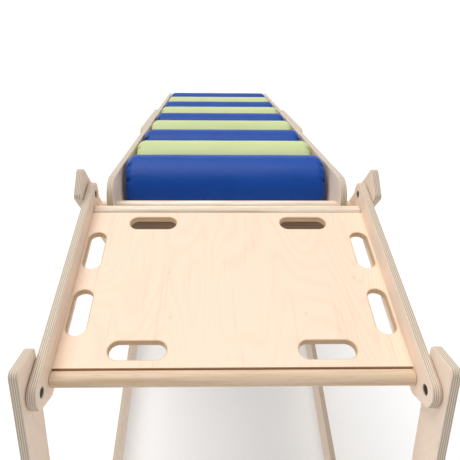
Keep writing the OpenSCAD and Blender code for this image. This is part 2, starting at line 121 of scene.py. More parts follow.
# Scales of the patterns, in repeats per metre
FIGURE_SCALE = 4.6              # swells of the veneer's figure, 220 mm across
CLOUD_SCALE = 2.6               # warmer and paler areas of veneer, 380 mm across
FIBRE_SCALE = 900.0             # wood fibres, 1.1 mm wide
STREAK_SCALE = 130.0            # flecks, 8 mm wide
KNOT_SCALE = 4.2                # one pin knot in each 240 mm
EDGE_SCALE = 160.0              # uneven tone along a cut edge, every 6 mm
BAND_SCALE = 120.0              # bands in beech, 8 mm wide
RAY_SCALE = 700.0               # rays in beech, 1.4 mm wide
PEBBLE_SCALE = 330.0            # embossed pebbles are 1 mm wide; 3 mm is drawn, to show
CREASE_SCALE = 60.0             # soft creases in the vinyl, 17 mm across
SHADE_SCALE = 7.0               # paler areas of the vinyl, 140 mm across
PLATING_SCALE = 220.0           # cloudy patches of plating, 4.5 mm
RUB_SCALE = 160.0               # rubbing marks, 6 mm long and 0.7 mm wide
SCUFF_SCALE = 45.0              # scuffs on moulded parts, 22 mm
# How slowly a pattern changes along the grain, against across it
ALONG_FIGURE, ALONG_FIBRE, ALONG_KNOT, ALONG_BAR = 0.22, 0.03, 0.6, 0.04
RINGS = 96.0                    # growth rings in the whole range of the figure's noise


def hex_to_linear(code):
    """An sRGB hex colour as linear red, green and blue."""
    parts = [int(code[i:i + 2], 16) / 255 for i in (1, 3, 5)]
    return tuple(c / 12.92 if c <= 0.04045 else ((c + 0.055) / 1.055) ** 2.4 for c in parts)


def rgba(colour):
    """A hex code or a colour property as the four numbers of a colour socket."""
    return (*(hex_to_linear(colour) if isinstance(colour, str) else colour), 1.0)


def add_node(tree, kind, inputs=None, **settings):
    """Adds a shader node. inputs maps a socket's name or number to a value, or to what feeds
    it: a socket, or a node whose first output it takes."""
    node = tree.nodes.new("ShaderNode" + kind)
    for name, value in settings.items():
        setattr(node, name, value)
    for key, value in (inputs or {}).items():
        if isinstance(value, bpy.types.Node):
            value = value.outputs[0]
        if isinstance(value, bpy.types.NodeSocket):
            tree.links.new(value, node.inputs[key])
        else:
            node.inputs[key].default_value = value
    return node


def new_material(name):
    """An empty node material with its output, and the tree that holds its nodes."""
    material = bpy.data.materials.new(name)
    material.use_nodes = True
    material.node_tree.nodes.clear()
    return material, material.node_tree


def close_material(tree, shader):
    """Joins the shader to the material's output."""
    add_node(tree, "OutputMaterial", {"Surface": shader})


# Finishes


def lacquered_birch_plywood(name, across, middle, turn, colours, figure=1.0, offset=0.0):
    """Birch plywood, rotary-cut veneers glued crosswise, sanded and lacquered: pale satin faces
    with nested flame figure, and cut edges with light and dark plies between thin glue lines.
    across is the axis through the sheet, middle its mid-plane, turn the grain's turn from the
    length, figure how strong its lines are and offset moves the pattern along."""
    material, tree = new_material(name)
    place = add_node(tree, "TexCoord").outputs["Object"]
    split = add_node(tree, "SeparateXYZ", {0: place})
    depth = split.outputs[across]
    if across == "X":
        depth = add_node(tree, "Math", {0: depth}, operation="ABSOLUTE")
    from_face = add_node(tree, "Math", {0: depth, 1: middle - SHEET / 2}, operation="SUBTRACT")
    layer = add_node(tree, "Math", {0: from_face, 1: PLIES / SHEET},
                     operation="MULTIPLY")
    odd = add_node(tree, "Math", {0: layer, 1: 2.0}, operation="FLOORED_MODULO")
    is_cross = add_node(tree, "Math", {0: odd, 1: 1.0}, operation="GREATER_THAN")
    glue = add_node(tree, "Math", {0: layer, 1: 0.5}, operation="PINGPONG")
    centred = add_node(tree, "Math", {0: layer, 1: PLIES / 2}, operation="SUBTRACT")
    out = add_node(tree, "Math", {0: centred}, operation="ABSOLUTE")
    is_face = add_node(tree, "Math", {0: out, 1: PLIES / 2 - FACE_PLY},
                       operation="GREATER_THAN")
    # Grain coordinates: their Y runs along the grain
    grain = add_node(tree, "Mapping", {"Vector": place, "Location": (offset, 0, 0),
                                       "Rotation": (-turn, 0, 0)})
    broad = add_node(tree, "Mapping", {"Vector": grain, "Scale": (1, ALONG_FIGURE, 1)})
    swell = add_node(tree, "TexNoise", {"Vector": broad, "Scale": FIGURE_SCALE, "Detail": 1.4,
                                        "Roughness": 0.4})
    # Growth rings cut almost flat: faint nested lines, about 5 to 20 mm apart
    rings = add_node(tree, "Math", {0: swell.outputs["Fac"], 1: RINGS}, operation="MULTIPLY")
    flame = add_node(tree, "Math", {0: rings, 1: 1.0}, operation="PINGPONG")
    flame_line = add_node(tree, "MapRange", {"Value": flame, "From Min": 0.35,
                                             "From Max": 1.0}, interpolation_type="SMOOTHSTEP")
    # Pin knots: brown eyes about 7 mm across and 11 mm long, a few hand widths apart
    ways = add_node(tree, "SeparateXYZ", {0: grain})
    along = add_node(tree, "Math", {0: ways.outputs["Y"], 1: ALONG_KNOT}, operation="MULTIPLY")
    on_sheet = add_node(tree, "CombineXYZ", {0: ways.outputs["X" if across == "Z" else "Z"],
                                             1: along})
    eyes = add_node(tree, "TexVoronoi", {"Vector": on_sheet, "Scale": KNOT_SCALE},
                    voronoi_dimensions="2D")
    knot = add_node(tree, "MapRange", {"Value": eyes.outputs["Distance"], "From Min": 0.004,
                                       "From Max": 0.024, "To Min": 0.26, "To Max": 0.0},
                    interpolation_type="SMOOTHSTEP")
    # Fibres 1 mm wide and 40 mm long, and wider flecks among them
    long_fibre = add_node(tree, "Mapping", {"Vector": grain, "Scale": (1, ALONG_FIBRE, 1)})
    fibre = add_node(tree, "TexNoise", {"Vector": long_fibre, "Scale": FIBRE_SCALE, "Detail": 2.0})
    streak = add_node(tree, "TexNoise", {"Vector": long_fibre, "Scale": STREAK_SCALE,
                                         "Detail": 3.0})
    fleck = add_node(tree, "MapRange", {"Value": streak.outputs["Fac"], "From Min": 0.60,
                                        "From Max": 0.74})
    cloud = add_node(tree, "TexNoise", {"Vector": broad, "Scale": CLOUD_SCALE, "Detail": 2.0})
    tone = add_node(tree, "Mix", {SHARE: cloud.outputs["Fac"], FIRST: rgba(colours["face"]),
                                  SECOND: rgba(colours["face_warm"])}, data_type="RGBA")
    patch = add_node(tree, "MapRange", {"Value": cloud.outputs["Fac"], "From Min": 0.38,
                                        "From Max": 0.62, "To Min": 0.05 * figure,
                                        "To Max": 0.22 * figure})
    line_share = add_node(tree, "Math", {0: flame_line, 1: patch},
                          operation="MULTIPLY")
    lined = add_node(tree, "Mix", {SHARE: line_share, FIRST: tone.outputs[MIXED],
                                   SECOND: rgba(colours["ring"])}, data_type="RGBA")
    fleck_share = add_node(tree, "Math", {0: fleck, 1: 0.22}, operation="MULTIPLY")
    marks = add_node(tree, "Math", {0: fleck_share, 1: knot},
                     operation="MAXIMUM")
    flecked = add_node(tree, "Mix", {SHARE: marks, FIRST: lined.outputs[MIXED],
                                     SECOND: rgba(colours["mark"])}, data_type="RGBA")
    # Cut edges: the plies seen along and across their fibres
    edge_noise = add_node(tree, "TexNoise", {"Vector": place, "Scale": EDGE_SCALE, "Detail": 3.0})
    light_ply = add_node(tree, "Mix", {SHARE: edge_noise.outputs["Fac"],
                                       FIRST: rgba(colours["edge_light"]),
                                       SECOND: rgba(colours["edge_mid"])}, data_type="RGBA")
    ply = add_node(tree, "Mix", {SHARE: is_cross, FIRST: light_ply.outputs[MIXED],
                                 SECOND: rgba(colours["edge_dark"])}, data_type="RGBA")
    glue_share = add_node(tree, "MapRange", {"Value": glue, "From Min": 0.16,
                                             "From Max": 0.0, "To Min": 0.0, "To Max": 0.55})
    glued = add_node(tree, "Mix", {SHARE: glue_share, FIRST: ply.outputs[MIXED],
                                   SECOND: rgba(colours["glue"])}, data_type="RGBA")
    colour = add_node(tree, "Mix", {SHARE: is_face, FIRST: glued.outputs[MIXED],
                                    SECOND: flecked.outputs[MIXED]}, data_type="RGBA")
    rough = add_node(tree, "MapRange", {"Value": fibre.outputs["Fac"], "From Min": 0.3,
                                        "From Max": 0.7, "To Min": 0.46, "To Max": 0.60})
    bump = add_node(tree, "Bump", {"Height": fibre.outputs["Fac"], "Strength": 0.10,
                                   "Distance": 0.0006})
    shader = add_node(tree, "BsdfPrincipled", {
        "Base Color": colour.outputs[MIXED], "Roughness": rough, "IOR": 1.5,
        "Specular IOR Level": 0.32, "Normal": bump})
    close_material(tree, shader)
    return material


def turned_beech(name, colours):
    """Steamed beech, turned or planed and oiled: even tan wood with soft bands and short darker
    rays that run along the bar, and a soft sheen."""
    material, tree = new_material(name)
    place = add_node(tree, "TexCoord").outputs["Object"]
    along = add_node(tree, "Mapping", {"Vector": place, "Scale": (ALONG_BAR, 1, 1)})
    band = add_node(tree, "TexNoise", {"Vector": along, "Scale": BAND_SCALE, "Detail": 3.0,
                                       "Roughness": 0.6})
    pore = add_node(tree, "TexNoise", {"Vector": along, "Scale": RAY_SCALE, "Detail": 2.0})
    ray = add_node(tree, "MapRange", {"Value": pore.outputs["Fac"], "From Min": 0.60,
                                      "From Max": 0.72, "To Min": 0.0, "To Max": 0.5})
    band_share = add_node(tree, "MapRange", {"Value": band.outputs["Fac"], "From Min": 0.35,
                                             "From Max": 0.68})
    wood = add_node(tree, "Mix", {SHARE: band_share, FIRST: rgba(colours["bar"]),
                                  SECOND: rgba(colours["bar_dark"])}, data_type="RGBA")
    rayed = add_node(tree, "Mix", {SHARE: ray, FIRST: wood.outputs[MIXED],
                                   SECOND: rgba(colours["bar_ray"])}, data_type="RGBA")
    rough = add_node(tree, "MapRange", {"Value": pore.outputs["Fac"], "From Min": 0.3,
                                        "From Max": 0.7, "To Min": 0.40, "To Max": 0.56})
    bump = add_node(tree, "Bump", {"Height": band.outputs["Fac"], "Strength": 0.12,
                                   "Distance": 0.0006})
    shader = add_node(tree, "BsdfPrincipled", {
        "Base Color": rayed.outputs[MIXED], "Roughness": rough, "IOR": 1.5,
        "Specular IOR Level": 0.4, "Normal": bump})
    close_material(tree, shader)
    return material


def grained_vinyl(name, colour, seam_shade, light):
    """PVC-coated fabric, calendered and embossed with a leather grain: an even strong colour, a
    broad soft highlight broken up by fine pebbles, and painted shade in the stitched grooves of its
    seams and in the pinches beside them."""
    material, tree = new_material(name)
    place = add_node(tree, "TexCoord").outputs["Object"]
    pebble = add_node(tree, "TexVoronoi", {"Vector": place, "Scale": PEBBLE_SCALE},
                      feature="SMOOTH_F1")
    crease = add_node(tree, "TexNoise", {"Vector": place, "Scale": CREASE_SCALE, "Detail": 4.0})
    cloud = add_node(tree, "TexNoise", {"Vector": place, "Scale": SHADE_SCALE, "Detail": 2.0})
    share = add_node(tree, "MapRange", {"Value": cloud.outputs["Fac"], "From Min": 0.3,
                                        "From Max": 0.7, "To Min": 0.0, "To Max": 0.6})
    body = add_node(tree, "Mix", {SHARE: share, FIRST: rgba(colour),
                                  SECOND: rgba(light)}, data_type="RGBA")
    # Painted shade: the seam mask darkens the seam grooves and pinches towards the seam colour
    seam = add_node(tree, "Attribute", attribute_name="seam").outputs["Fac"]
    stitch = add_node(tree, "Attribute", attribute_name="stitch").outputs["Fac"]
    seam_shade_share = add_node(tree, "MapRange", {"Value": seam, "From Min": 0.1, "From Max": 1.0,
                                             "To Min": 0.0, "To Max": 0.85})
    sewn = add_node(tree, "Mix", {SHARE: seam_shade_share, FIRST: body.outputs[MIXED],
                                  SECOND: rgba(seam_shade)}, data_type="RGBA")
    thread = add_node(tree, "MapRange", {"Value": stitch, "From Min": 0.55, "From Max": 0.75,
                                         "To Min": 0.0, "To Max": 0.7})
    stitched = add_node(tree, "Mix", {SHARE: thread, FIRST: sewn.outputs[MIXED],
                                      SECOND: rgba(light)}, data_type="RGBA")
    grain = add_node(tree, "Bump", {"Height": pebble.outputs["Distance"], "Strength": 0.28,
                                    "Distance": 0.0008})
    wrinkle = add_node(tree, "Bump", {"Height": crease.outputs["Fac"], "Strength": 0.10,
                                      "Distance": 0.002, "Normal": grain})
    rough = add_node(tree, "MapRange", {"Value": crease.outputs["Fac"], "From Min": 0.3,
                                        "From Max": 0.7, "To Min": 0.40, "To Max": 0.50})
    shader = add_node(tree, "BsdfPrincipled", {
        "Base Color": stitched.outputs[MIXED], "Roughness": rough, "IOR": 1.5,
        "Specular IOR Level": 0.2, "Normal": wrinkle})
    close_material(tree, shader)
    return material


def coated_steel(name, dark, light, roughness):
    """Mild steel, turned or pressed and then zinc-plated or blackened: a metal with faint cloudy
    patches and fine rubbing marks."""
    material, tree = new_material(name)
    place = add_node(tree, "TexCoord").outputs["Object"]
    cloud = add_node(tree, "TexNoise", {"Vector": place, "Scale": PLATING_SCALE, "Detail": 4.0})
    tone = add_node(tree, "Mix", {SHARE: cloud.outputs["Fac"], FIRST: rgba(dark),
                                  SECOND: rgba(light)}, data_type="RGBA")
    rough = add_node(tree, "MapRange", {"Value": cloud.outputs["Fac"], "From Min": 0.3,
                                        "From Max": 0.7, "To Min": roughness - 0.08,
                                        "To Max": roughness + 0.08})
    rub = add_node(tree, "Mapping", {"Vector": place, "Scale": (1, 9, 9)})
    marks = add_node(tree, "TexNoise", {"Vector": rub, "Scale": RUB_SCALE, "Detail": 2.0})
    bump = add_node(tree, "Bump", {"Height": marks.outputs["Fac"], "Strength": 0.08,
                                   "Distance": 0.0004})
    shader = add_node(tree, "BsdfPrincipled", {
        "Base Color": tone.outputs[MIXED], "Metallic": 1.0, "Roughness": rough,
        "Normal": bump})
    close_material(tree, shader)
    return material


def moulded(name, colour, worn, grit_mm, roughness, strength):
    """A moulded part with an even fine texture: the colour varies a little, as handled plastic and
    rubber do, and the texture breaks up the shine."""
    material, tree = new_material(name)
    place = add_node(tree, "TexCoord").outputs["Object"]
    grit = add_node(tree, "TexNoise", {"Vector": place, "Scale": 1 / (grit_mm * MM), "Detail": 2.0})
    scuff = add_node(tree, "TexNoise", {"Vector": place, "Scale": SCUFF_SCALE, "Detail": 5.0})
    share = add_node(tree, "MapRange", {"Value": scuff.outputs["Fac"], "From Min": 0.48,
                                        "From Max": 0.72})
    tone = add_node(tree, "Mix", {SHARE: share, FIRST: rgba(colour), SECOND: rgba(worn)},
                    data_type="RGBA")
    rough = add_node(tree, "MapRange", {"Value": scuff.outputs["Fac"], "From Min": 0.3,
                                        "From Max": 0.7, "To Min": roughness - 0.06,
                                        "To Max": roughness + 0.08})
    bump = add_node(tree, "Bump", {"Height": grit.outputs["Fac"], "Strength": strength,
                                   "Distance": 0.0005})
    shader = add_node(tree, "BsdfPrincipled", {
        "Base Color": tone.outputs[MIXED], "Roughness": rough, "IOR": 1.5,
        "Normal": bump})
    close_material(tree, shader)
    return material


# Settings


def colour_property(name, description, code):
    """A colour that a user can change, with its default as a hex code."""
    return FloatVectorProperty(name=name, description=description, subtype="COLOR", size=3,
                               min=0.0, max=1.0, default=hex_to_linear(code))


class SeesawWood(bpy.types.PropertyGroup):
    """Colours and edge roundings of the wooden pieces"""
    edge_round: FloatProperty(
        name="Eased edges", description="Rounding of the edges of every plywood sheet",
        default=2.2 * MM, min=0.0005, max=0.006, unit="LENGTH")
    slot_round: FloatProperty(
        name="Hand slot rounding", description="Rounding of the edges of the hand slots",
        default=4.5 * MM, min=0.001, max=0.006, unit="LENGTH")
    bar_chamfer: FloatProperty(
        name="Bar ends", description="Rounding of the ends of the round bars",
        default=3.0 * MM, min=0.0005, max=0.006, unit="LENGTH")
    face: colour_property("Veneer", "Pale parts of the plywood's faces", "#f9e0c9")
    face_warm: colour_property("Warm veneer", "Warmer parts of the plywood's faces", "#f4d8bf")
    ring: colour_property("Growth rings", "Lines of the figure in the veneer", "#e2c4a2")
    # Upright sheets get a paler, cooler copy of the veneer: painted light
    upright: colour_property("Upright veneer", "Pale parts of the upright sheets", "#f9e7d7")
    upright_warm: colour_property("Warm upright veneer", "Warmer parts of the upright sheets",
                                  "#f3deca")
    mark: colour_property("Flecks and pin knots", "Small brown marks in the veneer", "#c79f7c")
    edge_light: colour_property("Edge, light ply", "Plies cut along their fibres", "#e6d9c8")
    edge_mid: colour_property("Edge, darker parts", "Darker parts of the light plies", "#d6c8b6")
    edge_dark: colour_property("Edge, end-grain ply", "Plies cut across their fibres", "#b9a793")
    rim_light: colour_property("Slot rim, light ply", "Light plies round the hand slots", "#ecd2b2")
    rim_mid: colour_property("Slot rim, darker parts", "Darker parts of those plies", "#dcbd97")
    rim_dark: colour_property("Slot rim, end-grain ply", "Dark plies round the hand slots",
                              "#c3a07b")
    glue: colour_property("Glue line", "Thin lines between the plies", "#93795f")
    bar: colour_property("Beech", "Pale parts of the round bars", "#e0c7ac")
    # The lighter bars' beech is painted paler: painted light, for the highlight on bars lit from
    # above and behind
    bar_pale: colour_property("Beech, painted light", "Pale parts of the lighter bars", "#fdf3e0")
    bar_dark: colour_property("Beech, darker bands", "Darker bands of the round bars", "#d1b495")
    # The batten colours are darkened as painted shade, for the shadow beneath the deck
    batten: colour_property("Battens", "Planed battens below the deck and in the base", "#80654a")
    batten_dark: colour_property("Battens, darker bands", "Darker bands of the battens", "#65503b")
    bar_ray: colour_property("Beech rays", "Short dark marks in the round bars", "#b3926f")


class SeesawRollers(bpy.types.PropertyGroup):
    """Colours and padding of the rollers"""
    swell: FloatProperty(
        name="Swell", description="How far the padding may swell out of its cut shape",
        default=4.0 * MM, min=0.0, max=0.008, unit="LENGTH")
    pucker: FloatProperty(
        name="Puckers", description="Depth of the small folds beside the end seams",
        default=1.3 * MM, min=0.0, max=0.003, unit="LENGTH")
    around: IntProperty(
        name="Divisions around", description="Faces around a roller before it is subdivided",
        default=96, min=48, max=128)
    blue: colour_property("Blue vinyl", "Odd rollers", "#0e449c")
    blue_light: colour_property("Blue vinyl, light", "Lighter parts of the odd rollers", "#174ea6")
    # The seam colours are painted shade for the seam grooves and pinches
    blue_deep: colour_property("Blue seam shade", "Seams of the odd rollers", "#051533")
    green: colour_property("Green vinyl", "Even rollers", "#c5d194")
    green_light: colour_property("Green vinyl, light", "Lighter parts of the even rollers",
                                 "#cfdaa2")
    green_deep: colour_property("Green seam shade", "Seams of the even rollers", "#8f9c66")


class SeesawStudio(bpy.types.PropertyGroup):
    """Floor and light"""
    floor: colour_property("Floor", "Colour of the floor", "#dadada")
    sky: FloatProperty(name="Sky", description="Strength of the even light from all round",
                       default=0.27, min=0.0, max=3.0)
    horizon: FloatProperty(name="Horizon",
                           description="Strength of the pale band round the horizon",
                           default=0.72, min=0.0, max=3.0)
    softbox: FloatProperty(name="Softbox", description="Strength of the wide light overhead",
                           default=2.75, min=0.0, max=10.0)


def wood():
    """The settings of the wooden pieces."""
    return bpy.context.scene.seesaw_wood


def wood_colours():
    """The colours among the settings of the wooden pieces."""
    group = wood()
    return {prop.identifier: tuple(getattr(group, prop.identifier))
            for prop in group.bl_rna.properties if prop.subtype == "COLOR"}


def upright_painted_light_colours():
    """The upright sheets are the same veneer as the deck; their faces are painted paler and cooler,
    as painted light for the way light falls on upright faces.
    """
    colours = wood_colours()
    return {**colours, "face": colours["upright"], "face_warm": colours["upright_warm"]}


# Shapes


def link_mesh(name, bm):
    """A new object in the scene that takes its mesh from bm, which is freed."""
    mesh = bpy.data.meshes.new(name)
    bm.to_mesh(mesh)
    bm.free()
    made = bpy.data.objects.new(name, mesh)
    bpy.context.scene.collection.objects.link(made)
    return made


def finish_piece(name, bm, material, body, replaced, sharp=35):
    """Makes a mesh object from bm, shades it, gives it its material and ties it to the frame."""
    piece = link_mesh(name, bm)
    for face in piece.data.polygons:
        face.use_smooth = True
    piece.data.set_sharp_from_angle(angle=math.radians(sharp))
    piece.data.materials.append(material)
    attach(piece, body)
    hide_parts(*replaced)
    return piece


def ease(bm, edges, offset, segments=3):
    """Rounds edges over."""
    bmesh.ops.bevel(bm, geom=edges, offset=offset, segments=segments, profile=0.5,
                    affect="EDGES", material=-1)


def is_corner(edge):
    """Whether an edge is a corner of the shape, not a facet of a curve."""
    return edge.calc_face_angle(0) > CORNER


def reach_of(vert):
    """How far a vertex is from the X axis."""
    return Vector(vert.co.yz).length


def weigh_normals(piece):
    """Keeps flat faces flat beside their rounded edges."""
    weigh = piece.modifiers.new("Flat faces", "WEIGHTED_NORMAL")
    weigh.keep_sharp = True
    weigh.weight = 80
    return piece


def middle_of(node, axis="x"):
    """The middle of a CAD node along an axis."""
    low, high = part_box(node)
    return (getattr(low, axis) + getattr(high, axis)) / 2


def merged_copy(node):
    """A bmesh copy of a CAD node, with its loose triangles joined into whole flat faces."""
    bm = bmesh.new()
    bm.from_mesh(frame["nodes"][node].data)
    bmesh.ops.remove_doubles(bm, verts=bm.verts, dist=MERGE)
    bmesh.ops.dissolve_limit(bm, angle_limit=FLAT, use_dissolve_boundaries=False,
                             verts=bm.verts, edges=bm.edges)
    return bm


def islands(node):
    """The box of each separate solid of a CAD node, as (lowest corner, highest corner)."""
    bm = merged_copy(node)
    left, boxes = set(bm.verts), []
    while left:
        todo, group = [left.pop()], []
        while todo:
            vert = todo.pop()
            group.append(vert.co.copy())
            for edge in vert.link_edges:
                other = edge.other_vert(vert)
                if other in left:
                    left.remove(other)
                    todo.append(other)
        boxes.append([Vector(pick(co[i] for co in group) for i in range(3)) for pick in (min, max)])
    bm.free()
    return sorted(boxes, key=lambda box: (box[0].y, box[0].x))


def eased_plate(node, body, material, holes):
    """A plywood sheet with its outer edges sanded round. Edges beside a hole's axis stay sharp."""
    bm = merged_copy(node)
    edges = []
    for edge in bm.edges:
        if len(edge.link_faces) != 2 or edge.calc_face_angle(0) < SHEET_FOLD:
            continue
        middle = (edge.verts[0].co + edge.verts[1].co) / 2
        if all((middle.yz - hole).length > room for hole, room in holes):
            edges.append(edge)
    ease(bm, edges, wood().edge_round)
    return weigh_normals(finish_piece(node + "_eased", bm, material, body, [node]))


def hole_axes(*nodes):
    """Where bolts and bars cross the sheets, as (place, room) pairs."""
    holes = []
    for node in nodes:
        for low, high in islands(node):
            radius = min(high.y - low.y, high.z - low.z) / 2
            holes.append((((low + high) / 2).yz, max(radius + HOLE_RIM, HOLE_ROOM)))
    return holes


def round_bars(name, node, body, material):
    """Turned bars, each with its ends rounded over."""
    bm = bmesh.new()
    for low, high in islands(node):
        centre, radius = (low + high) / 2, (high.z - low.z) / 2
        place = Matrix.Translation(centre) @ Matrix.Rotation(math.radians(90), 4, "Y")
        made = bmesh.ops.create_cone(bm, cap_ends=True, segments=BAR_STEPS, radius1=radius,
                                     radius2=radius, depth=high.x - low.x, matrix=place)
        rims = {edge for vert in made["verts"] for edge in vert.link_edges if is_corner(edge)}
        ease(bm, list(rims), wood().bar_chamfer)
    return weigh_normals(finish_piece(name, bm, material, body, [node]))


def plan_spot(vert):
    """A vertex's place seen from above, rounded so that it can be compared."""
    return tuple(round(c, 5) for c in vert.co.xy)


def deck_with_slots(material):
    """The deck board with its hand slots, whose edges are routed to a wide round-over."""
    low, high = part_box("deck_board")
    bm = bmesh.new()
    corners = bmesh.ops.create_grid(bm, x_segments=1, y_segments=1, size=0.5)["verts"]
    bmesh.ops.delete(bm, geom=list(bm.faces), context="FACES_ONLY")
    for vert in corners:
        vert.co = Vector((low.x if vert.co.x < 0 else high.x,
                          low.y if vert.co.y < 0 else high.y, high.z))
    on_rim = set()
    stretch = (SLOT_LENGTH - SLOT_WIDTH) / 2
    turn = Matrix.Rotation(math.pi / SLOT_STEPS, 4, "Z")
    for opening in frame["record"]["physics"]["openings"]:
        a, b = (Vector(corner) for corner in opening["box_m"])
        centre, size = (a + b) / 2, b - a
        ring = bmesh.ops.create_circle(bm, cap_ends=False, segments=SLOT_STEPS,
                                       radius=SLOT_WIDTH / 2, matrix=turn)["verts"]
        axis = 0 if size.x > size.y else 1
        for vert in ring:
            vert.co[axis] += math.copysign(stretch, vert.co[axis])
            vert.co += Vector((centre.x, centre.y, high.z))
        on_rim.update(plan_spot(vert) for vert in ring)
    bmesh.ops.triangle_fill(bm, use_beauty=True, use_dissolve=False, edges=list(bm.edges))
    grown = bmesh.ops.extrude_face_region(bm, geom=list(bm.faces))
    below = [item for item in grown["geom"] if isinstance(item, bmesh.types.BMVert)]
    bmesh.ops.translate(bm, verts=below, vec=(0, 0, low.z - high.z))
    bmesh.ops.recalc_face_normals(bm, faces=list(bm.faces))
    slot_edges, outer_edges = [], []
    for edge in filter(is_corner, bm.edges):
        inside = all(plan_spot(vert) in on_rim for vert in edge.verts)
        (slot_edges if inside else outer_edges).append(edge)
    ease(bm, slot_edges, wood().slot_round, 4)
    # The deck's outer edges are only just eased
    ease(bm, [edge for edge in outer_edges if edge.is_valid], wood().edge_round / 5, 2)
    return weigh_normals(finish_piece("deck_board_routed", bm, material, "stand",
                                      ["deck_board"]))


def roller_shell(radius, half, bore, around):
    """A closed padded tube around the X axis: outside, rounded ends and the bore for its core."""
    bm = bmesh.new()
    places = [(-half, bore), (-half, radius), (half, radius), (half, bore)]
    verts = [bm.verts.new((x, 0, r)) for x, r in places]
    edges = [bm.edges.new((verts[i], verts[(i + 1) % 4])) for i in range(4)]
    bmesh.ops.spin(bm, geom=verts + edges, axis=(1, 0, 0), cent=(0, 0, 0), angle=FULL_TURN,
                   steps=around, use_merge=True)
    bmesh.ops.remove_doubles(bm, verts=bm.verts, dist=0.05 * MM)
    bmesh.ops.recalc_face_normals(bm, faces=list(bm.faces))
    rims = [e for e in bm.edges if is_corner(e)
            and all(reach_of(v) > (radius + bore) / 2 for v in e.verts)]
    ease(bm, rims, COVER_EDGE, 6)
    long_edges = [e for e in bm.edges if abs(e.verts[0].co.x - e.verts[1].co.x) > half]
    bmesh.ops.subdivide_edges(bm, edges=long_edges, cuts=LENGTH_CUTS, use_grid_fill=True)
    spokes = [e for e in bm.edges
              if abs(reach_of(e.verts[0]) - reach_of(e.verts[1])) > COVER_EDGE / 2]
    bmesh.ops.subdivide_edges(bm, edges=spokes, cuts=END_CUTS, use_grid_fill=True)
    return bm


def swollen(bm, bore, limit):
    """Fills the shell: a short cloth simulation with pressure, held at the bore and the seams."""
    start = [vert.co.copy() for vert in bm.verts]
    shell = link_mesh("filling", bm)
    held = shell.vertex_groups.new(name="held")
    seam_x = max(co.x for co in start) - SEAM_BACK
    seam_reach = max(Vector(co.yz).length for co in start) - SEAM_BACK
    for number, co in enumerate(start):
        reach = Vector(co.yz).length
        if reach < bore + 2 * MM:
            held.add([number], 1.0, "REPLACE")
        elif math.hypot(reach - seam_reach, abs(co.x) - seam_x) < SEAM_HOLD:
            held.add([number], 0.9, "REPLACE")
    cloth = shell.modifiers.new("Filling", "CLOTH")
    cloth.settings.quality = 5
    cloth.settings.mass = 0.35
    cloth.settings.tension_stiffness = 12
    cloth.settings.compression_stiffness = 12
    cloth.settings.bending_stiffness = 0.6
    cloth.settings.use_pressure = True
    cloth.settings.uniform_pressure_force = 4.0
    cloth.settings.vertex_group_mass = "held"
    cloth.settings.effector_weights.gravity = 0
    cloth.point_cache.frame_start = 1
    cloth.point_cache.frame_end = FILL_STEPS
    scene = bpy.context.scene
    for step in range(1, FILL_STEPS + 1):
        scene.frame_set(step)
    solved = shell.evaluated_get(bpy.context.evaluated_depsgraph_get())
    settled = bpy.data.meshes.new_from_object(solved)
    filled = bmesh.new()
    filled.from_mesh(settled)
    filled.verts.ensure_lookup_table()
    for vert, co in zip(filled.verts, start):
        move = vert.co - co
        if move.length > limit:
            vert.co = co + move * (limit / move.length)
    cut = shell.data
    bpy.data.objects.remove(shell)
    for mesh in (cut, settled):
        bpy.data.meshes.remove(mesh)
    scene.frame_set(1)
    return filled


def near(distance, width):
    """1 at distance 0, falling smoothly to nothing over a few widths."""
    return math.exp(-(distance / width) ** 2)


def sew(bm, half, radius, pucker):
    """Presses in the end seams with their puckers and hand-gathered pinches and the lengthwise
    seam, and marks for the vinyl where painted shade darkens the seam grooves and pinches, and
    where the stitches run."""
    seam = bm.verts.layers.float.new("seam")
    stitch = bm.verts.layers.float.new("stitch")
    ring_r, ring_x = radius - CORNER_MIDDLE * COVER_EDGE, half - CORNER_MIDDLE * COVER_EDGE
    for vert in bm.verts:
        x, reach = vert.co.x, reach_of(vert)
        if reach < radius * 0.6:
            continue
        angle = math.atan2(vert.co.z, vert.co.y)
        outward = Vector((0, vert.co.y / reach, vert.co.z / reach))
        from_ring = math.hypot(reach - ring_r, abs(x) - ring_x)
        groove = near(from_ring, GROOVE_WIDTH)
        uneven = noise.noise(Vector((math.cos(angle) * 3, math.sin(angle) * 3,
                                     math.copysign(2, x))))
        fold = math.cos(SEAM_WAVES * angle + 3 * uneven) * (0.7 + uneven)
        fade = math.exp(-from_ring / PUCKER_REACH) * (1 - groove)
        soft = noise.noise(Vector((x * 9, vert.co.y * 22, vert.co.z * 22)))
        move = outward * (-GROOVE_DEPTH * groove - pucker * fade * (0.6 + 0.5 * fold)
                          + SOFTNESS * soft - SOFTNESS)
        move += Vector((math.copysign(GROOVE_PULL * groove, -x), 0, 0))
        if abs(angle) < 0.3 and reach > radius * 0.9:
            line = near(reach * angle, LONG_SEAM_WIDTH)
            move -= outward * LONG_SEAM_DEPTH * line
            # Painted shade in the lengthwise seam's groove
            vert[seam] = line
        # Where the cover was gathered by hand, a few deeper pinches break the end seam
        gather = max(near(math.remainder(angle - place, FULL_TURN), PINCH_WIDTH)
                     for place in PINCHES)
        depth = gather * near(from_ring, PINCH_REACH)
        move -= outward * PINCH_DEPTH * depth
        move += Vector((math.copysign(PINCH_DEPTH * 0.6 * depth, -x), 0, 0))
        vert.co += move
        # Painted shade in the end seam's groove and in the pinches beside it
        vert[seam] = max(vert[seam], groove, gather * near(from_ring, PINCH_SHADE))
        beside = near(from_ring - STITCH_BACK, STITCH_WIDTH)
        vert[stitch] = beside if math.cos(STITCHES * angle) > 0 else 0.0


# Pieces


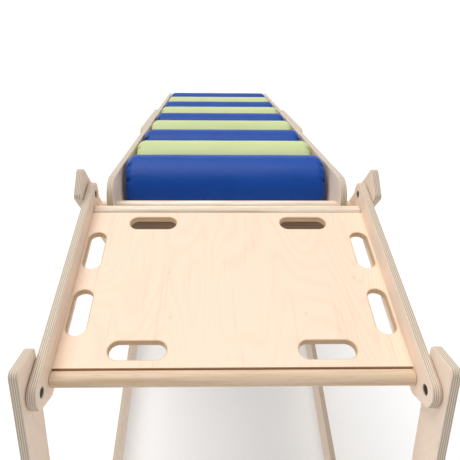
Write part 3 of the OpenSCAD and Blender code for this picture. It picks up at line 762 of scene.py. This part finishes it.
class SEESAW_OT_studio(bpy.types.Operator):
    """Camera, floor and soft light"""
    bl_idname = "seesaw.studio"
    bl_label = "Studio"

    def execute(self, context):
        settings = context.scene.seesaw_studio
        # The camera looks down over the platform's front edge
        lens = bpy.data.cameras.new("camera")
        lens.lens, lens.sensor_width = LENS_MM, SENSOR_MM
        lens.shift_x, lens.shift_y = LENS_SHIFT
        lens.dof.use_dof = False
        lens.clip_end = 50
        camera = bpy.data.objects.new("camera", lens)
        context.scene.collection.objects.link(camera)
        down, turn, roll = (math.radians(a) for a in CAMERA_TURNS)
        ahead = Vector((math.sin(turn) * math.cos(down), math.cos(turn) * math.cos(down),
                        -math.sin(down)))
        right = Vector((math.cos(turn), -math.sin(turn), 0))
        below = ahead.cross(right)
        rolled = right * math.cos(roll) + below * math.sin(roll)
        lower = below * math.cos(roll) - right * math.sin(roll)
        camera.matrix_world = Matrix.Translation(CAMERA_PLACE) @ Matrix(
            (rolled, -lower, -ahead)).transposed().to_4x4()
        context.scene.camera = camera
        context.scene.view_settings.view_transform = "Standard"

        bm = bmesh.new()
        bmesh.ops.create_grid(bm, x_segments=1, y_segments=1, size=FLOOR_HALF)
        floor = link_mesh("studio_floor", bm)
        material, tree = new_material("Matt white studio floor")
        speck = add_node(tree, "TexNoise", {"Scale": 30.0})
        rough = add_node(tree, "MapRange", {"Value": speck.outputs["Fac"], "To Min": 0.85,
                                            "To Max": 0.95})
        close_material(tree, add_node(tree, "BsdfPrincipled", {
            "Base Color": rgba(tuple(settings.floor)), "Roughness": rough,
            "Specular IOR Level": 0.1, "Emission Color": (1, 1, 1, 1), "Emission Strength": 0.3}))
        floor.data.materials.append(material)

        world = bpy.data.worlds.new("Studio")
        context.scene.world = world
        world.use_nodes = True
        tree = world.node_tree
        tree.nodes.clear()
        # A pale band round the horizon, and a dimmer sky above it that keeps the shading soft
        ways = add_node(tree, "SeparateXYZ", {0: add_node(tree, "TexCoord").outputs["Generated"]})
        strength = add_node(tree, "MapRange", {
            "Value": ways.outputs["Z"], "From Min": BAND_TOP[0], "From Max": BAND_TOP[1],
            "To Min": settings.horizon, "To Max": settings.sky}, interpolation_type="SMOOTHSTEP")
        sky = add_node(tree, "Background", {"Color": (1, 1, 1, 1), "Strength": strength})
        add_node(tree, "OutputWorld", {"Surface": sky})

        # A wide soft light high on the left and a little behind, so wide that shadows have no edge
        lamp = bpy.data.lights.new("softbox", "SUN")
        lamp.energy, lamp.angle = settings.softbox, LIGHT_SPREAD
        light = bpy.data.objects.new("softbox", lamp)
        context.scene.collection.objects.link(light)
        light.matrix_world = Vector(LIGHT_AIM).to_track_quat("-Z", "Y").to_matrix().to_4x4()
        return {"FINISHED"}


class SEESAW_OT_platform(bpy.types.Operator):
    """Deck board with hand slots, its side rails and the batten below it"""
    bl_idname = "seesaw.platform"
    bl_label = "Platform"

    def execute(self, context):
        colours = wood_colours()
        # The deck's cut edges, the routed rims of the hand slots among them, get warmer and darker
        # plies than the other sheets' edges, with glue lines in the battens' darker colour
        rims = {"edge_light": colours["rim_light"], "edge_mid": colours["rim_mid"],
                "edge_dark": colours["rim_dark"], "glue": colours["batten"]}
        deck = lacquered_birch_plywood("Lacquered birch plywood, deck", "Z",
                                       middle_of("deck_board", "z"), 0, {**colours, **rims})
        deck_with_slots(deck)
        rails = lacquered_birch_plywood("Lacquered birch plywood, rails", "X",
                                        middle_of("side_rail_right"), 0, upright_painted_light_colours(), 0.7)
        holes = hole_axes("leg_bolts", "wood_screws")
        for side in ("left", "right"):
            eased_plate("side_rail_" + side, "stand", rails, holes)
        # The deck batten is painted dark: painted shade for the shadow beneath the deck
        batten = turned_beech("Planed dark beech", {
            "bar": colours["batten"], "bar_dark": colours["batten_dark"],
            "bar_ray": colours["batten_dark"]})
        crossbar = turned_beech("Planed beech", colours)
        for node, beech in (("deck_batten", batten), ("base_crossbars", crossbar)):
            bm = merged_copy(node)
            edges = [e for e in bm.edges if is_corner(e) and e.calc_length() > 20 * MM]
            ease(bm, edges, wood().edge_round)
            weigh_normals(finish_piece(node + "_eased", bm, beech, "stand", [node]))
        return {"FINISHED"}


class SEESAW_OT_legs(bpy.types.Operator):
    """Four leaning legs and the two base panels with their pivot towers"""
    bl_idname = "seesaw.legs"
    bl_label = "Legs and base"

    def execute(self, context):
        colours = upright_painted_light_colours()
        bolts = hole_axes("leg_bolts", "base_bolts")
        upright = math.radians(90)
        for end, turn in (("front", upright - LEG_TURN), ("rear", LEG_TURN - upright)):
            planks = lacquered_birch_plywood(f"Lacquered birch plywood, {end} legs", "X",
                                             middle_of(f"leg_{end}_right"), turn, colours, 0.8)
            for side in ("left", "right"):
                eased_plate(f"leg_{end}_{side}", "stand", planks, bolts)
        panels = lacquered_birch_plywood("Lacquered birch plywood, base", "X",
                                         middle_of("base_panel_right"), 0, colours, 1.0, 0.7)
        holes = bolts + hole_axes("pivot_tube")
        for side in ("left", "right"):
            eased_plate("base_panel_" + side, "stand", panels, holes)
        return {"FINISHED"}


class SEESAW_OT_track(bpy.types.Operator):
    """The rocking track's side boards and the plates that carry its pivot"""
    bl_idname = "seesaw.track"
    bl_label = "Track"

    def execute(self, context):
        colours = upright_painted_light_colours()
        holes = hole_axes("cheek_bolts", "roller_rods", "spreader_bars", "pivot_bushes", "rod_nuts")
        for kind in ("track_side", "pivot_cheek"):
            name = "Lacquered birch plywood, " + kind.replace("_", " ")
            sheet = lacquered_birch_plywood(name, "X", middle_of(kind + "_right"), TRACK_TURN,
                                            colours, 0.9, 1.3)
            for side in ("left", "right"):
                eased_plate(f"{kind}_{side}", "track", sheet, holes)
        return {"FINISHED"}


class SEESAW_OT_bars(bpy.types.Operator):
    """Round beech bars: deck bars, climbing steps and the track's spreaders"""
    bl_idname = "seesaw.bars"
    bl_label = "Round bars"

    def execute(self, context):
        colours = wood_colours()
        beech = turned_beech("Turned beech", colours)
        # The rear bar and the track's spreaders get a paler copy of the beech, painted light for
        # the highlight on them
        pale = turned_beech("Pale turned beech", {
            "bar": colours["bar_pale"], "bar_dark": colours["bar"], "bar_ray": colours["bar_dark"]})
        for node, body, finish in (
                ("front_bar", "stand", beech), ("climbing_steps", "stand", beech),
                ("rear_bar", "stand", pale), ("spreader_bars", "track", pale)):
            round_bars(node + "_turned", node, body, finish)
        return {"FINISHED"}


class SEESAW_OT_rollers(bpy.types.Operator):
    """Nine padded vinyl rollers, blue and green in turn"""
    bl_idname = "seesaw.rollers"
    bl_label = "Padded rollers"

    def execute(self, context):
        settings = context.scene.seesaw_rollers
        low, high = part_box("roller_1_cover")
        half = (high.x - low.x) / 2
        radius = (high.z - low.z) / 2
        core_low, core_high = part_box("roller_1_core")
        bore = (core_high.z - core_low.z) / 2 + BORE_ROOM
        swell = settings.swell
        bm = roller_shell(radius - swell, half - swell, bore, settings.around)
        bm = swollen(bm, bore, swell)
        bmesh.ops.subdivide_edges(bm, edges=list(bm.edges), cuts=1, smooth=0.6, use_grid_fill=True)
        # The rollers are close together, so no padding stands out of its cylinder
        for vert in bm.verts:
            reach = reach_of(vert)
            if reach > radius:
                vert.co.yz *= radius / reach
        sew(bm, half, radius, settings.pucker)
        vinyls = [(grained_vinyl(f"Grained {hue} vinyl", *(
            tuple(getattr(settings, hue + shade)) for shade in ("", "_deep", "_light"))),
            hue + "_vinyl") for hue in ("blue", "green")]
        for number in ROLLERS:
            low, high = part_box(f"roller_{number}_cover")
            copy = bm.copy()
            # Each roller has come to rest at its own angle, most with the lengthwise seam below
            rest = Matrix.Rotation(math.radians(-70 - 37 * (number % 4)), 4, "X")
            bmesh.ops.transform(copy, matrix=Matrix.Translation((low + high) / 2) @ rest,
                                verts=copy.verts)
            vinyl, slot = vinyls[(number + 1) % 2]
            piece = finish_piece(f"roller_{number}_padding", copy, vinyl, f"roller_{number}",
                                 [f"roller_{number}_cover"], 60)
        bm.free()
        return {"FINISHED"}


class SEESAW_OT_fittings(bpy.types.Operator):
    """Finishes of the bolts, nuts, rods, tubes, bushes, feet and bumpers"""
    bl_idname = "seesaw.fittings"
    bl_label = "Fittings"

    def execute(self, context):
        # Zinc plating: cool light grey, half shiny
        zinc = coated_steel("Zinc-plated steel", "#b4b7ba", "#d7d9d8", 0.34)
        # Black oxide: nearly black with a dull oily shine
        black = coated_steel("Black-oxide steel", "#1b1b1d", "#2c2c2e", 0.45)
        # Moulded EPDM rubber, matt and slightly dusty
        rubber = moulded("Moulded black rubber", "#1c1c1e", "#2b2b2d", 1.2, 0.78, 0.35)
        # Injection-moulded polyamide with a fine spark-eroded texture
        plastic = moulded("Moulded black polyamide", "#1a1a1c", "#262629", 0.8, 0.5, 0.2)
        # Natural polyamide, turned from rod, a waxy ivory
        nylon = moulded("Turned ivory polyamide", "#e6e1d2", "#d6d0bd", 1.0, 0.4, 0.1)
        # Extruded grey PVC tube, dull with faint scuffs
        tube = moulded("Extruded grey PVC", "#8f908d", "#a3a4a0", 1.5, 0.5, 0.12)
        finishes = {"zinc_steel": zinc, "black_steel": black, "black_rubber": rubber,
                    "black_plastic": plastic, "ivory_nylon": nylon, "grey_tube": tube}
        for node, piece in frame["nodes"].items():
            finish = finishes.get(SLOT_OF[node])
            if finish:
                for material_slot in piece.material_slots:
                    material_slot.material = finish
        return {"FINISHED"}


class SEESAW_PT_panel(bpy.types.Panel):
    """Lists the seesaw's pieces and settings"""
    bl_idname = "SEESAW_PT_panel"
    bl_label = "Roller seesaw"
    bl_space_type = "VIEW_3D"
    bl_region_type = "UI"
    bl_category = "Seesaw"

    def draw(self, context):
        for operator in OPERATORS:
            self.layout.operator(operator.bl_idname)
        for group in (context.scene.seesaw_wood, context.scene.seesaw_rollers,
                      context.scene.seesaw_studio):
            box = self.layout.box()
            for name in group.bl_rna.properties.keys():
                if name not in ("rna_type", "name"):
                    box.prop(group, name)


OPERATORS = (SEESAW_OT_studio, SEESAW_OT_platform, SEESAW_OT_legs, SEESAW_OT_track,
             SEESAW_OT_bars, SEESAW_OT_rollers, SEESAW_OT_fittings)
GROUPS = {"seesaw_wood": SeesawWood, "seesaw_rollers": SeesawRollers,
          "seesaw_studio": SeesawStudio}


def register():
    for cls in (*GROUPS.values(), *OPERATORS, SEESAW_PT_panel):
        bpy.utils.register_class(cls)
    for name, group in GROUPS.items():
        setattr(bpy.types.Scene, name, PointerProperty(type=group))


def unregister():
    for name in GROUPS:
        delattr(bpy.types.Scene, name)
    for cls in reversed((*GROUPS.values(), *OPERATORS, SEESAW_PT_panel)):
        bpy.utils.unregister_class(cls)


def main():
    register()
    bpy.ops.seesaw.studio()
    bpy.ops.seesaw.platform()
    bpy.ops.seesaw.legs()
    bpy.ops.seesaw.track()
    bpy.ops.seesaw.bars()
    bpy.ops.seesaw.rollers()
    bpy.ops.seesaw.fittings()


if __name__ == "__main__":
    main()
